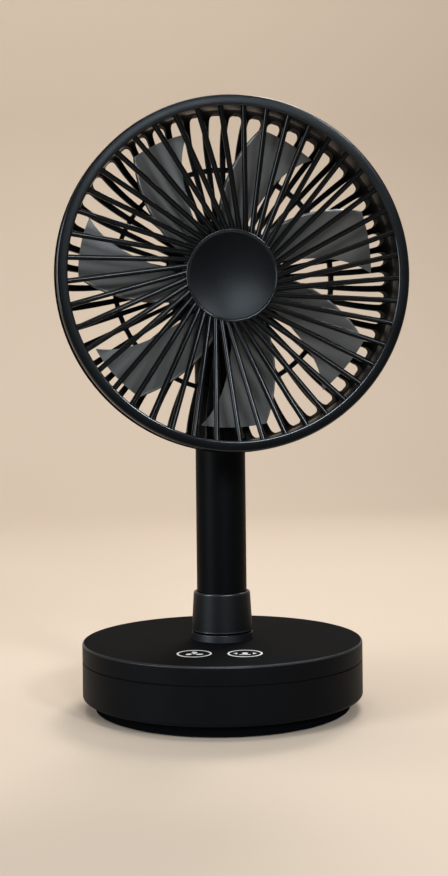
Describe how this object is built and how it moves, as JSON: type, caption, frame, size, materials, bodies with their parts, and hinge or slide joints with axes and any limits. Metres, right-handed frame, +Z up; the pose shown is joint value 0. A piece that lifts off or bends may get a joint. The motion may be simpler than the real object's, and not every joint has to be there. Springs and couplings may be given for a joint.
{
  "type": "rechargeable table fan",
  "caption": "Free-standing rechargeable table fan: round weighted base, slim mast that swings from side to side, tilting head with a swirled front guard over swept blades.",
  "frame": {"origin": "centre of the base's underside, on the swing axis", "axes": "+Z up along the mast; at rest the head faces -Y and +X is to the right of someone looking at its front"},
  "size_m": [0.1312, 0.11, 0.2326],
  "materials": {
    "black_plastic": "satin black moulding",
    "black_tube": "satin black coating",
    "grey_plastic": "matte grey moulding",
    "black_rubber": "matte",
    "steel": "zinc plated",
    "core_steel": "stacked laminations",
    "bronze": "sintered",
    "copper": "enamelled wire",
    "magnet": "bonded ferrite",
    "white_acetal": "smooth moulding",
    "board_green": "solder mask",
    "cell_case": "drawn can in a film wrap"
  },
  "bodies": {
    "base": {"anti_slip_pad": "black_rubber", "bottom_plate": "black_plastic", "case_screws": "steel", "ballast_plate": "steel", "lower_shell": "black_plastic", "top_cover": "black_plastic", "battery_pack": "cell_case", "main_circuit_board": "board_green", "board_screws": "steel", "charging_inlet": "steel", "touch_electrodes": "copper", "touch_board": "board_green", "swing_motor": "steel", "swing_motor_screws": "steel", "upper_swivel_bush": "bronze", "lower_swivel_bush": "bronze", "thrust_washer": "white_acetal"},
    "swing_pinion": {"swing_pinion": "white_acetal"},
    "mast": {"swing_gear": "white_acetal", "spindle": "steel", "spindle_circlip": "steel", "swivel_collar": "black_plastic", "mast_tube": "black_tube", "tilt_yoke": "black_plastic", "tilt_screw": "steel", "tilt_nut": "steel", "friction_washers": "white_acetal", "mast_cable": "black_rubber"},
    "head": {"motor_housing": "black_plastic", "housing_screws": "steel", "rear_grille": "black_plastic", "front_grille": "black_plastic", "hub_cap": "black_plastic", "motor_board": "board_green", "rear_bearing": "steel", "front_bearing": "steel", "bearing_spacer": "steel", "stator_core": "core_steel", "stator_coils": "copper"},
    "impeller": {"rotor_can": "steel", "magnet_ring": "magnet", "motor_shaft": "steel", "fan_blades": "grey_plastic", "blade_nut": "steel"}
  },
  "joints": [
    {"name": "swing", "type": "hinge", "parent": "base", "child": "mast", "pos_m": [0, 0, 0.03], "axis": [0, 0, 1], "range_deg": [-56, 34]},
    {"name": "pinion_spin", "type": "hinge", "parent": "base", "child": "swing_pinion", "pos_m": [-0.02199, 0.00427, 0.0199], "axis": [0, 0, 1], "range_deg": [-102, 168]},
    {"name": "tilt", "type": "hinge", "parent": "mast", "child": "head", "pos_m": [0, 0, 0.167], "axis": [-1, 0, 0], "range_deg": [0, 90]},
    {"name": "fan_spin", "type": "hinge", "parent": "head", "child": "impeller", "pos_m": [0, -0.022, 0.167], "axis": [0, -1, 0], "continuous": true}
  ],
  "couplings": [
    {"joint": "pinion_spin", "follows": "swing", "ratio": -3}
  ]
}
